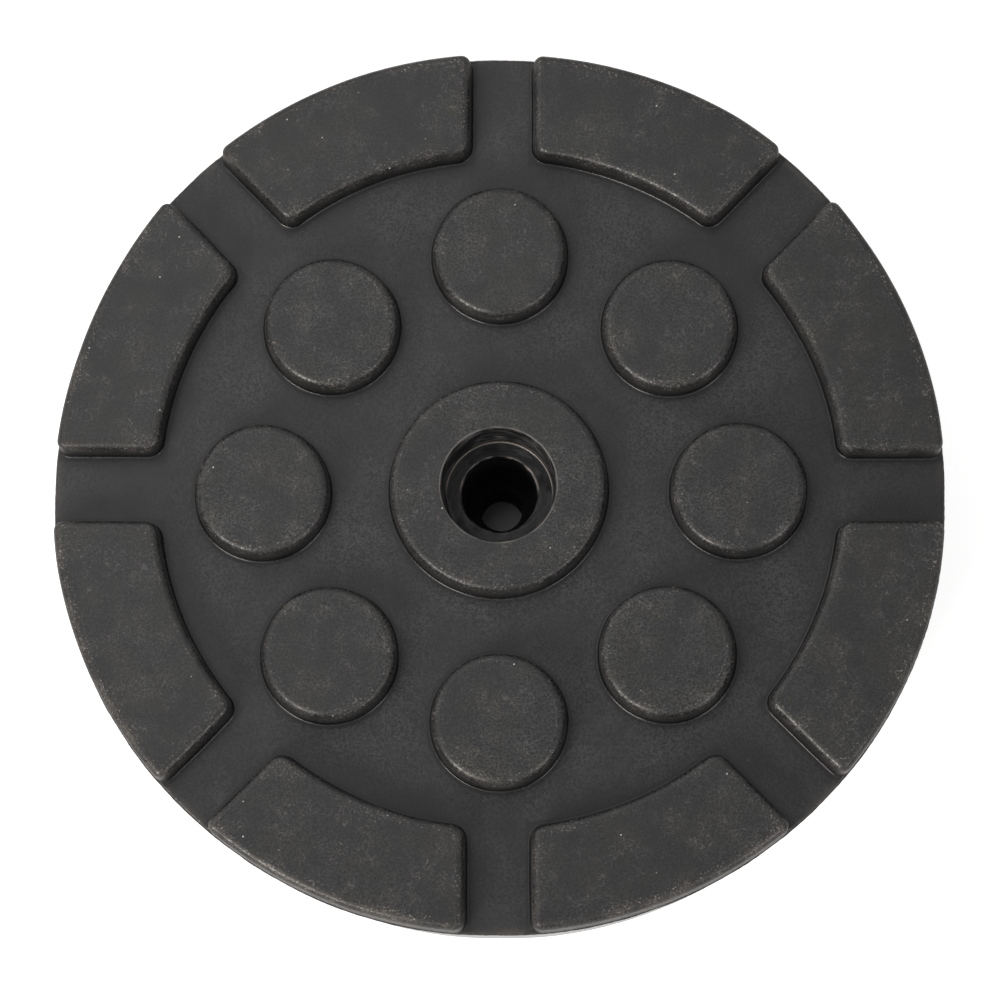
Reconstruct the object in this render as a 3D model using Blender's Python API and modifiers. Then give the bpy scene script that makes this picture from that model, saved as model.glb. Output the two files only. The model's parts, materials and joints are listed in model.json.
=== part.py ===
"""Rubber jack pad: one moulded disc with raised rim segments, round studs and a bored centre boss.

The pad lies on its flat underside with the origin in the middle of it and +Z up, so a vehicle
bears down on the top. Body, boss and bore are one turned section. The eight studs and the eight
rim segments stand on its floor and are united with it.
"""
import math

import bmesh
import bpy

# Body: the disc below the recessed floor
PAD_RADIUS = 0.0600
BODY_HEIGHT = 0.0240
SIDE_DRAFT = math.radians(4.0)
RIM_ROUNDING = 0.0008
FOOT_ROUNDING = 0.0010

# Relief: everything raised above the floor has the same height
RELIEF_HEIGHT = 0.0040
RELIEF_DRAFT = math.radians(7.0)

# Rim segments, parted by channels with parallel sides
SEGMENT_COUNT = 8
SEGMENT_INNER_RADIUS = 0.0458
CHANNEL_WIDTH = 0.0086
SEGMENT_CORNER = 0.0021
SEGMENT_EDGE_ROUNDING = 0.0011
SEGMENT_SETBACK = 0.00005

# Round studs on one circle
STUD_COUNT = 8
STUD_CIRCLE_RADIUS = 0.0320
STUD_RADIUS = 0.0091
STUD_EDGE_ROUNDING = 0.0009

# Centre boss with a bore in three stages
BOSS_RADIUS = 0.0147
BOSS_EDGE_ROUNDING = 0.0008
RECESS_RADIUS = 0.0078
RECESS_DEPTH = 0.0070
RECESS_DRAFT = math.radians(3.0)
RECESS_EDGE_ROUNDING = 0.0004
HEAD_BORE_RADIUS = 0.0051
HEAD_BORE_DEPTH = 0.0115
SCREW_HOLE_RADIUS = 0.0029

# What stands on the floor is rooted this far below the rim rounding, so that the union has no shared faces
ROOT_MARGIN = 0.0004

# Fineness of the facets
BODY_SIDES = 96
STUD_SIDES = 36
ROUNDING_STEPS = 3
CORNER_STEPS = 4
OUTER_ARC_STEPS = 10
INNER_ARC_STEPS = 8
MERGE_DISTANCE = 0.00001
SHARP_ANGLE = math.radians(35.0)

TOP_HEIGHT = BODY_HEIGHT + RELIEF_HEIGHT
DRAFT_INSET = RELIEF_HEIGHT * math.tan(RELIEF_DRAFT)
ROOT_HEIGHT = BODY_HEIGHT - RIM_ROUNDING - ROOT_MARGIN

# The segments' outer walls stand just inside the facets of the disc's side, down to their roots
SEGMENT_OUTER_RADIUS = (PAD_RADIUS * math.cos(math.pi / BODY_SIDES)
                        - ROOT_MARGIN * math.tan(SIDE_DRAFT) - SEGMENT_SETBACK)

# A segment's fillets, limited by its wall where the pad leaves it narrow
FILLET_SHARE = 0.45
PLAN_CORNER = min(SEGMENT_CORNER, FILLET_SHARE * (SEGMENT_OUTER_RADIUS - SEGMENT_INNER_RADIUS))
EDGE_ROUNDING = min(SEGMENT_EDGE_ROUNDING, 2.0 * FILLET_SHARE * (PLAN_CORNER - DRAFT_INSET))


def clear_scene():
    """Removes whatever the file opened with."""
    for thing in list(bpy.data.objects):
        bpy.data.objects.remove(thing, do_unlink=True)


def new_collection(name):
    """Adds a collection to the scene."""
    collection = bpy.data.collections.new(name)
    bpy.context.scene.collection.children.link(collection)
    return collection


def rubber_material():
    """Black vulcanised rubber, matt and very slightly warm."""
    material = bpy.data.materials.new("black_rubber")
    material.use_nodes = True
    shader = material.node_tree.nodes["Principled BSDF"]
    shader.inputs["Base Color"].default_value = (0.036, 0.035, 0.034, 1.0)
    shader.inputs["Roughness"].default_value = 0.72
    shader.inputs["Metallic"].default_value = 0.0
    return material


def arc(centre_x, centre_z, radius, start_deg, end_deg, steps):
    """Points along an arc, both ends included."""
    points = []
    for step in range(steps + 1):
        angle = math.radians(start_deg + (end_deg - start_deg) * step / steps)
        points.append((centre_x + radius * math.cos(angle), centre_z + radius * math.sin(angle)))
    return points


def turned(name, profile, sides, collection, closed):
    """Spins a section round the Z axis. The section runs down its outer side."""
    bm = bmesh.new()
    verts = [bm.verts.new((x, 0.0, z)) for x, z in profile]
    for first, second in zip(verts, verts[1:]):
        bm.edges.new((first, second))
    if closed:
        bm.edges.new((verts[-1], verts[0]))
    mesh = bpy.data.meshes.new(name)
    bm.to_mesh(mesh)
    bm.free()
    thing = bpy.data.objects.new(name, mesh)
    collection.objects.link(thing)
    screw = thing.modifiers.new("turn", "SCREW")
    screw.axis = "Z"
    screw.angle = 2.0 * math.pi
    screw.steps = sides
    screw.render_steps = sides
    screw.use_merge_vertices = True
    screw.merge_threshold = MERGE_DISTANCE
    return thing


def body_profile():
    """Section of the disc with its boss and stepped bore, clockwise from the boss rim."""
    foot_radius = PAD_RADIUS - (BODY_HEIGHT - RIM_ROUNDING) * math.tan(SIDE_DRAFT)
    boss_top_radius = BOSS_RADIUS - DRAFT_INSET
    recess_floor = TOP_HEIGHT - RECESS_DEPTH
    recess_foot_radius = RECESS_RADIUS - RECESS_DEPTH * math.tan(RECESS_DRAFT)
    head_seat = recess_floor - HEAD_BORE_DEPTH
    points = arc(boss_top_radius - BOSS_EDGE_ROUNDING, TOP_HEIGHT - BOSS_EDGE_ROUNDING,
                 BOSS_EDGE_ROUNDING, 90, 0, ROUNDING_STEPS)
    points.append((BOSS_RADIUS, BODY_HEIGHT))
    points += arc(PAD_RADIUS - RIM_ROUNDING, BODY_HEIGHT - RIM_ROUNDING, RIM_ROUNDING, 90, 0, ROUNDING_STEPS)
    points += arc(foot_radius - FOOT_ROUNDING, FOOT_ROUNDING, FOOT_ROUNDING, 0, -90, ROUNDING_STEPS)
    points.append((SCREW_HOLE_RADIUS, 0.0))
    points.append((SCREW_HOLE_RADIUS, head_seat))
    points.append((HEAD_BORE_RADIUS, head_seat))
    points.append((HEAD_BORE_RADIUS, recess_floor))
    points.append((recess_foot_radius, recess_floor))
    points += arc(RECESS_RADIUS + RECESS_EDGE_ROUNDING, TOP_HEIGHT - RECESS_EDGE_ROUNDING,
                  RECESS_EDGE_ROUNDING, 180, 90, ROUNDING_STEPS)
    return points


def stud_profile():
    """Section of one stud from the middle of its top, with drafted sides and a rounded top edge."""
    top_radius = STUD_RADIUS - DRAFT_INSET
    points = [(0.0, TOP_HEIGHT)]
    points += arc(top_radius - STUD_EDGE_ROUNDING, TOP_HEIGHT - STUD_EDGE_ROUNDING,
                  STUD_EDGE_ROUNDING, 90, 0, ROUNDING_STEPS)
    points.append((STUD_RADIUS, BODY_HEIGHT))
    points.append((STUD_RADIUS, ROOT_HEIGHT))
    points.append((0.0, ROOT_HEIGHT))
    return points


def corner_centre(ring_radius, half_channel, corner, outwards):
    """Centre of a plan corner that touches the channel wall and a ring of the given radius."""
    reach = ring_radius - corner if outwards else ring_radius + corner
    side = half_channel + corner
    return math.sqrt(reach * reach - side * side), side


def segment_outline(inner_radius, outer_radius, half_channel, corner):
    """Plan of the segment that follows the +X channel, with round corners, anticlockwise.

    Both channel walls are parallel to the middle of their own channel. The far half of the plan
    is the near half mirrored about the middle of the segment.
    """
    middle = math.pi / SEGMENT_COUNT
    outer_x, outer_y = corner_centre(outer_radius, half_channel, corner, True)
    inner_x, inner_y = corner_centre(inner_radius, half_channel, corner, False)
    outer_angle = math.degrees(math.atan2(outer_y, outer_x))
    inner_angle = math.degrees(math.atan2(inner_y, inner_x))
    near = arc(inner_x, inner_y, corner, 180 + inner_angle, 270, CORNER_STEPS)
    near += arc(outer_x, outer_y, corner, -90, outer_angle, CORNER_STEPS)
    outer = arc(0.0, 0.0, outer_radius, outer_angle, 2 * math.degrees(middle) - outer_angle, OUTER_ARC_STEPS)
    inner = arc(0.0, 0.0, inner_radius, 2 * math.degrees(middle) - inner_angle, inner_angle, INNER_ARC_STEPS)
    far = [mirrored(x, y, middle) for x, y in reversed(near)]
    return near + outer[1:-1] + far + inner[1:-1]


def mirrored(x, y, axis_angle):
    """Mirrors a plan point about a line through the centre."""
    turn = 2.0 * axis_angle
    return x * math.cos(turn) + y * math.sin(turn), x * math.sin(turn) - y * math.cos(turn)


def segment_levels():
    """Height, wall inset and outer inset of each section of a segment, from its root to its top."""
    levels = [(ROOT_HEIGHT, 0.0, 0.0), (BODY_HEIGHT, 0.0, 0.0)]
    for x, z in arc(0.0, 0.0, EDGE_ROUNDING, 0, 90, ROUNDING_STEPS):
        rounding_inset = EDGE_ROUNDING - x
        height = TOP_HEIGHT - EDGE_ROUNDING + z
        levels.append((height, DRAFT_INSET + rounding_inset, rounding_inset))
    return levels


def make_segment(index, collection):
    """Lofts one rim segment through its sections."""
    bm = bmesh.new()
    rings = []
    for height, wall_inset, outer_inset in segment_levels():
        outline = segment_outline(SEGMENT_INNER_RADIUS + wall_inset,
                                  SEGMENT_OUTER_RADIUS - outer_inset,
                                  CHANNEL_WIDTH / 2.0 + wall_inset,
                                  PLAN_CORNER - wall_inset)
        rings.append([bm.verts.new((x, y, height)) for x, y in outline])
    for lower, upper in zip(rings, rings[1:]):
        for here in range(len(lower)):
            after = (here + 1) % len(lower)
            bm.faces.new((lower[here], lower[after], upper[after], upper[here]))
    bm.faces.new(list(reversed(rings[0])))
    bm.faces.new(rings[-1])
    name = f"segment_{index}"
    mesh = bpy.data.meshes.new(name)
    bm.to_mesh(mesh)
    bm.free()
    thing = bpy.data.objects.new(name, mesh)
    thing.rotation_euler.z = 2.0 * math.pi * index / SEGMENT_COUNT
    collection.objects.link(thing)
    return thing


def make_stud(index, collection):
    """Turns one stud and sets it on the stud circle."""
    angle = 2.0 * math.pi * index / STUD_COUNT
    stud = turned(f"stud_{index}", stud_profile(), STUD_SIDES, collection, closed=False)
    stud.location = (STUD_CIRCLE_RADIUS * math.cos(angle), STUD_CIRCLE_RADIUS * math.sin(angle), 0.0)
    return stud


def show_as_guides(collection):
    """Marks the raised shapes as construction, because the pad takes them in."""
    for thing in collection.objects:
        thing.hide_render = True
        thing.display_type = "WIRE"


def unite(body, raised):
    """Unites the body with the raised shapes and keeps the result as a plain mesh."""
    union = body.modifiers.new("raised", "BOOLEAN")
    union.operation = "UNION"
    union.solver = "EXACT"
    union.operand_type = "COLLECTION"
    union.collection = raised
    evaluated = body.evaluated_get(bpy.context.evaluated_depsgraph_get())
    mesh = bpy.data.meshes.new_from_object(evaluated)
    body.modifiers.clear()
    body.data = mesh


def main():
    """Builds the pad."""
    clear_scene()
    parts = new_collection("rubber_jack_pad")
    raised = new_collection("raised_shapes")
    pad = turned("jack_pad", body_profile(), BODY_SIDES, parts, closed=True)
    for index in range(STUD_COUNT):
        make_stud(index, raised)
    for index in range(SEGMENT_COUNT):
        make_segment(index, raised)
    show_as_guides(raised)
    unite(pad, raised)
    pad.data.name = "jack_pad"
    pad.data.materials.clear()
    pad.data.materials.append(rubber_material())
    pad.data.shade_smooth()
    pad.data.set_sharp_from_angle(angle=SHARP_ANGLE)


main()
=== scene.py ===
# %% [markdown]
# # A rubber jack pad
#
# A jack pad is the thick rubber disc that lies on the saddle of a trolley jack, between the steel
# and the sill of a car. It is one piece of black rubber pressed in a mould: a flat disc, eight
# broad segments round its rim, eight round studs inside them, and a boss with a stepped hole in
# the middle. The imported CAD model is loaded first, because it fixes where everything is. The
# lesson then makes a finer copy of the pad, gives it a rubber finish, and lights it as in a
# photograph taken from nearly straight above.

import json
import math

import bmesh
import bpy
import numpy as np
from mathutils import Matrix, Vector, geometry, kdtree, noise

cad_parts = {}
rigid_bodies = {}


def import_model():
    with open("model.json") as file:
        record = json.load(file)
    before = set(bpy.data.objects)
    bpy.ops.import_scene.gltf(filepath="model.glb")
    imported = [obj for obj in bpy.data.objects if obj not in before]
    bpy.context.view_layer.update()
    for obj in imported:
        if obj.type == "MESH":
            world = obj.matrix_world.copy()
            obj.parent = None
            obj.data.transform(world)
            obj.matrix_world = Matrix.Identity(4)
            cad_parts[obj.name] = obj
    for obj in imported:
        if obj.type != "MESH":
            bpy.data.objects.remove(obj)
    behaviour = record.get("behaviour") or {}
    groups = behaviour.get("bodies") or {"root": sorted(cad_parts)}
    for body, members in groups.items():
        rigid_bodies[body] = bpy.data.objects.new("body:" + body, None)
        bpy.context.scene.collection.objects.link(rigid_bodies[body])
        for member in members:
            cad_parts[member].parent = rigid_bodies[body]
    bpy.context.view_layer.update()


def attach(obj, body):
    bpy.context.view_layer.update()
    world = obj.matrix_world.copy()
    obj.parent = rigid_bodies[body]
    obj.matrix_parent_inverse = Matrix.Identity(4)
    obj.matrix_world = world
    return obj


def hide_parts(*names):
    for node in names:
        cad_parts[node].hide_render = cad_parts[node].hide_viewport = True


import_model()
MM = 0.001

# %% [markdown]
# ## The heights that everything shares
#
# All the raised shapes end at one height, because the mould's deepest faces are level, and they
# all stand on one recessed floor. Moulded walls lean a little, so that the part comes out of the
# mould. These few numbers are used by every shape, so they come first.

# %% Shared heights
TOP = 28.0 * MM
FLOOR = 24.0 * MM
ROOT = 22.7 * MM
WALL_LEAN = math.radians(5.0)
FOOT_FILLET = 0.35 * MM
FLAT_MARGIN = 0.4 * MM
TOP_MARGIN = 4.0 * FLAT_MARGIN
print("relief stands", round((TOP - FLOOR) / MM, 1), "mm above the recessed floor")

# %% [markdown]
# ## Round corners in a section
#
# Rubber has no knife edges. Each convex edge is a small arc that touches the wall and the top,
# and each inner corner is a smaller arc that touches the wall and the floor. Both arcs have to
# meet a leaning wall without a kink, so one helper works out where they start and end. It gives
# each point as a distance outwards from the foot of the wall and a height. A second helper adds
# the hair-fine groove that a joint in the mould leaves just inside the edge of each top.

# %% Arc and wall helpers
WALL_STEPS = 7
HAIRLINE_START = 0.10 * MM
HAIRLINE_HALF = 0.07 * MM
HAIRLINE_DEPTH = 0.015 * MM


def arc(across, up, radius, start_deg, end_deg, steps):
    """Points along an arc in a section, both ends included."""
    angles = np.radians(np.linspace(start_deg, end_deg, steps + 1))
    return [(across + radius * math.cos(a), up + radius * math.sin(a)) for a in angles]


def between(first, last, steps):
    """Points that part a straight line into equal steps, without its ends."""
    shares = [step / steps for step in range(1, steps)]
    return [(first[0] + (last[0] - first[0]) * share, first[1] + (last[1] - first[1]) * share)
            for share in shares]


def leaning_wall(rounding, floor_deg=270.0):
    """Section of a leaning wall, from the floor end of its foot fillet to the top of its rounding."""
    lean_deg = math.degrees(WALL_LEAN)
    foot_out = FOOT_FILLET / math.cos(WALL_LEAN) - FOOT_FILLET * math.tan(WALL_LEAN)
    foot = arc(foot_out, FLOOR + FOOT_FILLET, FOOT_FILLET, floor_deg, 180.0 + lean_deg, WALL_STEPS)
    rim_out = -(TOP - FLOOR - rounding) * math.tan(WALL_LEAN) - rounding / math.cos(WALL_LEAN)
    return foot + arc(rim_out, TOP - rounding, rounding, lean_deg, 90.0, WALL_STEPS)


def hairline():
    """Inset and height of the points of the fine groove round each top, from its edge inwards."""
    middle = HAIRLINE_START + HAIRLINE_HALF
    return [(HAIRLINE_START, TOP), (middle, TOP - HAIRLINE_DEPTH),
            (HAIRLINE_START + 2.0 * HAIRLINE_HALF, TOP), (FLAT_MARGIN, TOP)]


print("a wall's section has", len(leaning_wall(0.9 * MM)), "points")

# %% [markdown]
# ## The turned body
#
# The disc, the boss and the stepped hole are all round about one axis, so one closed section
# makes them, and the Screw modifier turns it. The section runs from the rim of the top recess,
# over the boss, along the floor, down the side, under the pad and up through the hole. Close to
# each rounding there is an extra point on the flat, so that the flat shades flat right up to its
# edge.

# %% Outer section of the body
PAD_RADIUS = 60.0 * MM
FLASH_REACH = 0.12 * MM
SIDE_LEAN = math.radians(5.0)
RIM_ROUNDING = 0.4 * MM
UNDER_ROUNDING = 1.0 * MM
BOSS_RADIUS = 14.7 * MM
BOSS_ROUNDING = 1.0 * MM
ARC_STEPS = 6
SIDE_STEPS = 8
edge_radius = PAD_RADIUS - FLASH_REACH


def outer_section():
    """The section from the boss, over the floor and down the side, to the underside."""
    lean_deg = math.degrees(SIDE_LEAN)
    boss = [(BOSS_RADIUS + out, up) for out, up in reversed(leaning_wall(BOSS_ROUNDING))]
    rim = arc(edge_radius - RIM_ROUNDING, FLOOR - RIM_ROUNDING, RIM_ROUNDING, 90.0, -lean_deg, ARC_STEPS)
    drop = FLOOR - RIM_ROUNDING - UNDER_ROUNDING
    under = (edge_radius - RIM_ROUNDING - drop * math.tan(SIDE_LEAN)
             + (RIM_ROUNDING - UNDER_ROUNDING) / math.cos(SIDE_LEAN))
    foot = arc(under, UNDER_ROUNDING, UNDER_ROUNDING, -lean_deg, -90.0, ARC_STEPS)
    points = [(boss[0][0] - TOP_MARGIN, TOP)]
    points += [(boss[0][0] - inset, up) for inset, up in reversed(hairline())] + boss
    points += [(boss[-1][0] + FLAT_MARGIN, FLOOR), (rim[0][0] - FLAT_MARGIN, FLOOR)]
    points += rim + between(rim[-1], foot[0], SIDE_STEPS) + foot
    return points + [(foot[-1][0] - FLAT_MARGIN, 0.0)]


print("outer section:", len(outer_section()), "points")

# %% Section of the stepped hole
RECESS_RADIUS = 7.65 * MM
RECESS_FLOOR = 21.0 * MM
RECESS_LEAN = math.radians(3.0)
HEAD_RADIUS = 5.1 * MM
HEAD_SEAT = 9.5 * MM
SCREW_RADIUS = 2.9 * MM
HOLE_ROUNDING = 0.35 * MM


def hole_section():
    """The section up through the three stages of the hole, to the top of the boss."""
    h = HOLE_ROUNDING
    lean_deg = math.degrees(RECESS_LEAN)
    touch = h * (1.0 - math.sin(RECESS_LEAN))
    wall_foot = RECESS_RADIUS - (TOP - RECESS_FLOOR - touch) * math.tan(RECESS_LEAN)
    wall_top = RECESS_RADIUS - touch * math.tan(RECESS_LEAN)
    corner = wall_foot - h * math.cos(RECESS_LEAN)
    rim = wall_top + h * math.cos(RECESS_LEAN)
    points = [(SCREW_RADIUS + h + FLAT_MARGIN, 0.0)]
    points += arc(SCREW_RADIUS + h, h, h, -90.0, -180.0, ARC_STEPS)
    points += arc(SCREW_RADIUS + h, HEAD_SEAT - h, h, 180.0, 90.0, ARC_STEPS)
    points += arc(HEAD_RADIUS - h, HEAD_SEAT + h, h, -90.0, 0.0, ARC_STEPS)
    points += arc(HEAD_RADIUS + h, RECESS_FLOOR - h, h, 180.0, 90.0, ARC_STEPS)
    points += [(HEAD_RADIUS + h + FLAT_MARGIN, RECESS_FLOOR), (corner - FLAT_MARGIN, RECESS_FLOOR)]
    points += arc(corner, RECESS_FLOOR + h, h, -90.0, -lean_deg, ARC_STEPS)
    points += arc(rim, TOP - h, h, 180.0 - lean_deg, 90.0, ARC_STEPS)
    return points + [(rim + FLAT_MARGIN, TOP)]


print("section of the hole:", len(hole_section()), "points")

# %% [markdown]
# ## Turning a section
#
# A turned piece is its section as a wire, with a Screw modifier that spins it once about the
# axis and merges the seam. An open section, such as a stud's, starts and ends on the axis, and
# the merge closes its poles. The evaluated result is kept as a plain mesh, since nothing about
# a moulded part needs to stay live.

# %% Turn helper and the body
BODY_SIDES = 240
MERGE_REACH = 0.001 * MM


def baked(thing):
    """Replaces an object's mesh by its evaluated one and drops its modifiers."""
    evaluated = thing.evaluated_get(bpy.context.evaluated_depsgraph_get())
    mesh = bpy.data.meshes.new_from_object(evaluated)
    thing.modifiers.clear()
    thing.data = mesh
    return thing


def placed(name, data):
    """Makes an object of some data and links it to the scene."""
    thing = bpy.data.objects.new(name, data)
    bpy.context.scene.collection.objects.link(thing)
    return thing


def turned(name, section, sides, closed):
    """Spins a section round the Z axis into a closed mesh."""
    bm = bmesh.new()
    verts = [bm.verts.new((across, 0.0, up)) for across, up in section]
    for first, second in zip(verts, verts[1:]):
        bm.edges.new((first, second))
    if closed:
        bm.edges.new((verts[-1], verts[0]))
    mesh = bpy.data.meshes.new(name)
    bm.to_mesh(mesh)
    bm.free()
    thing = placed(name, mesh)
    screw = thing.modifiers.new("turn", "SCREW")
    screw.axis = "Z"
    screw.steps = screw.render_steps = sides
    screw.use_merge_vertices = True
    screw.merge_threshold = MERGE_REACH
    return baked(thing)


pad = turned("rubber_jack_pad", outer_section() + hole_section(), BODY_SIDES, closed=True)
print("turned body:", len(pad.data.polygons), "faces")

# %% [markdown]
# ## One stud
#
# The studs are low round buttons with a leaning wall and a well-rounded top edge. Their foot
# fillet meets the floor at a slight slope, and the section then carries on down into the body.
# The slight slope matters: the union that joins stud and body has a clean line to cut along,
# where two surfaces lying exactly in one plane would leave it guessing.

# %% Section of the stud
STUD_RADIUS = 9.2 * MM
STUD_CIRCLE = 32.0 * MM
STUD_ROUNDING = 1.2 * MM
STUD_SIDES = 72
STUD_INNER_RING = 10.0 * FLAT_MARGIN
MEETING_DEG = 264.0
SLOPE_LENGTH = 0.1 * MM


def rooted(wall):
    """Carries a wall's section from its foot, along its slope and down to the root."""
    slope = math.radians(270.0 - MEETING_DEG)
    out = wall[0][0] + SLOPE_LENGTH * math.cos(slope)
    return [(out, ROOT), (out, wall[0][1] - SLOPE_LENGTH * math.sin(slope))] + wall


def stud_section():
    """Section of a stud from the middle of its top to the middle of its root."""
    side = [(STUD_RADIUS + out, up) for out, up in rooted(leaning_wall(STUD_ROUNDING, MEETING_DEG))]
    rim = side[-1][0]
    flat = [(0.0, TOP), (rim - STUD_INNER_RING, TOP), (rim - TOP_MARGIN, TOP)]
    flat += [(rim - inset, up) for inset, up in reversed(hairline())]
    return flat + side[::-1] + [(0.0, ROOT)]


stud = turned("stud", stud_section(), STUD_SIDES, closed=False)
print("stud:", len(stud.data.polygons), "faces")

# %% [markdown]
# ## Marks scribed by hand
#
# A cheap mould is marked out and cut by hand, so its studs stand up to six tenths of a millimetre
# from where the drawing puts them. Each stud gets a mark, which is a bare point with its own small
# slip. The slips come first because the union is cut round each foot, and a foot that moved later
# would fold the floor.

# %% Marks of the studs
SEGMENTS = 8
STUD_SLIPS = [(0.15, -0.25), (0.35, -0.5), (0.05, 0.1), (0.05, -0.3),
              (0.3, -0.45), (0.05, 0.05), (0.1, 0.45), (-0.1, 0.2)]

mark_turns = np.radians(np.arange(SEGMENTS) * 360.0 / SEGMENTS)
drawn_marks = STUD_CIRCLE * np.column_stack((np.cos(mark_turns), np.sin(mark_turns)))
marks_mesh = bpy.data.meshes.new("stud_marks")
marks_mesh.from_pydata([(x, y, 0.0) for x, y in drawn_marks + MM * np.array(STUD_SLIPS)], [], [])
stud_marks = placed("stud_marks", marks_mesh)
print("stud marks:", len(marks_mesh.vertices))

# %% [markdown]
# ## One rim segment
#
# Seen from above, a segment is a piece of a ring between two channels whose walls are parallel,
# not radial, with small round corners. It isn't round about any axis of its own, so it is lofted:
# the same outline is drawn at each height of the wall's section, pulled in by that section's
# lean, and neighbouring outlines are joined by quads. On its outer side the segment is flush
# with the disc, so there only the top rounding pulls it in. The corners at the rim are tighter
# than those inside, because there the wall runs out into the mould's own rim.

# %% Plan of a segment
SEGMENT_INNER = 45.7 * MM
HALF_CHANNEL = 4.36 * MM
INNER_CORNER = 2.1 * MM
OUTER_CORNER = 1.5 * MM
SMALLEST_CORNER = 0.05 * MM
OUTER_SETBACK = 0.03 * MM
CHANNEL_STEPS = 7
SEGMENT_RIM_STEPS = 30
BAY_STEPS = 24


def plan_corner(ring, side, corner, outwards):
    """Centre of a round corner that touches a channel wall and a ring."""
    reach = ring - corner if outwards else ring + corner
    return math.sqrt(reach ** 2 - (side + corner) ** 2), side + corner


def segment_plan(inset, outer_inset):
    """Outline of the segment next to the +X channel, anticlockwise, pulled in by the insets."""
    inner, outer = SEGMENT_INNER + inset, edge_radius - OUTER_SETBACK - outer_inset
    side = HALF_CHANNEL + inset
    inner_corner = max(INNER_CORNER - inset, SMALLEST_CORNER)
    outer_corner = max(OUTER_CORNER - inset, SMALLEST_CORNER)
    outer_x, outer_y = plan_corner(outer, side, outer_corner, True)
    inner_x, inner_y = plan_corner(inner, side, inner_corner, False)
    outer_deg = math.degrees(math.atan2(outer_y, outer_x))
    inner_deg = math.degrees(math.atan2(inner_y, inner_x))
    start = arc(inner_x, inner_y, inner_corner, 180.0 + inner_deg, 270.0, ARC_STEPS)
    end = arc(outer_x, outer_y, outer_corner, -90.0, outer_deg, ARC_STEPS)
    near = start + between(start[-1], end[0], CHANNEL_STEPS) + end
    span = 360.0 / SEGMENTS
    c, s = math.cos(math.radians(span)), math.sin(math.radians(span))
    far = [(x * c + y * s, x * s - y * c) for x, y in reversed(near)]
    rim = arc(0.0, 0.0, outer, outer_deg, span - outer_deg, SEGMENT_RIM_STEPS)[1:-1]
    bay = arc(0.0, 0.0, inner, span - inner_deg, inner_deg, BAY_STEPS)[1:-1]
    return near + rim + far + bay


print("segment outline:", len(segment_plan(0.0, 0.0)), "points")

# %% Loft the segment
SEGMENT_ROUNDING = 1.1 * MM
SEGMENT_INNER_RING = 8.0 * FLAT_MARGIN


def segment_levels():
    """Height, wall inset and outer inset of each outline, from the root to the flat of the top."""
    levels = []
    for out, up in rooted(leaning_wall(SEGMENT_ROUNDING, MEETING_DEG)):
        above = max(up - (TOP - SEGMENT_ROUNDING), 0.0) / SEGMENT_ROUNDING
        outer_inset = SEGMENT_ROUNDING * (1.0 - math.sqrt(max(1.0 - above ** 2, 0.0)))
        levels.append((up, -out, outer_inset))
    top_inset, top_outer = levels[-1][1], levels[-1][2]
    return levels + [(up, top_inset + more, top_outer + more)
                     for more, up in hairline() + [(TOP_MARGIN, TOP), (SEGMENT_INNER_RING, TOP)]]


def lofted(name, outlines):
    """Joins equal outlines by quads and closes both ends."""
    bm = bmesh.new()
    rings = [[bm.verts.new(point) for point in outline] for outline in outlines]
    for lower, upper in zip(rings, rings[1:]):
        for here in range(len(lower)):
            after = (here + 1) % len(lower)
            bm.faces.new((lower[here], lower[after], upper[after], upper[here]))
    bm.faces.new(rings[0][::-1])
    bm.faces.new(rings[-1])
    mesh = bpy.data.meshes.new(name)
    bm.to_mesh(mesh)
    bm.free()
    return placed(name, mesh)


segment = lofted("segment", [[(x, y, up) for x, y in segment_plan(inset, outer)]
                             for up, inset, outer in segment_levels()])
print("segment:", len(segment.data.polygons), "faces")

# %% [markdown]
# ## The line where the mould closed
#
# The mould parts just below the rim of the disc. Rubber creeps into the joint there and is trimmed
# off by hand, which leaves a thin, uneven fin all the way round. It is only a tenth of a
# millimetre wide, but it draws the outline of the pad: a fine dark line with small nicks in it.
# The fin is a fine ring whose outer points are pulled back by a slow and a quick noise.

# %% Flash ring
FLASH_HEIGHT = 23.6 * MM
FLASH_HALF = 0.09 * MM
FLASH_ROOT = 0.5 * MM
FLASH_BEVEL = 0.04 * MM
FLASH_SIDES = 1440
TRIM_MEAN, TRIM_SLOW, TRIM_QUICK, TRIM_MOST = 0.28, 0.45, 0.35, 0.85
TRIM_SLOW_SCALE, TRIM_QUICK_SCALE = 260.0, 1500.0


def trimmed(place):
    """How far the fin is trimmed back at a place on it, as a share of its reach."""
    slow, quick = noise.noise(place * TRIM_SLOW_SCALE), noise.noise(place * TRIM_QUICK_SCALE)
    return min(max(TRIM_MEAN + TRIM_SLOW * slow + TRIM_QUICK * quick, 0.0), TRIM_MOST)


flash_inside = PAD_RADIUS - FLASH_REACH - FLASH_ROOT
half_tip = [(flash_inside, FLASH_HALF), (PAD_RADIUS - FLASH_BEVEL, 0.6 * FLASH_HALF)]
flash_section = [(out, FLASH_HEIGHT + up) for out, up in half_tip] + [(PAD_RADIUS, FLASH_HEIGHT)]
flash_section += [(out, FLASH_HEIGHT - up) for out, up in reversed(half_tip)]
flash = turned("flash", flash_section, FLASH_SIDES, closed=True)
for vertex in flash.data.vertices:
    reach = math.hypot(vertex.co.x, vertex.co.y)
    if reach > edge_radius:
        kept = 1.0 - trimmed(Vector((vertex.co.x, vertex.co.y, 0.0))) * FLASH_REACH / reach
        vertex.co.x *= kept
        vertex.co.y *= kept
print("flash:", len(flash.data.polygons), "faces")

# %% [markdown]
# ## Repeating the relief with Geometry Nodes
#
# The mould repeats one stud and one segment eight times each, which is what Geometry Nodes are
# good at: the eight marks carry the studs, and eight turns about the middle carry the segments.
# A Boolean union then melts them and the fin into the turned body, because the real pad is one
# solid.

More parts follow.
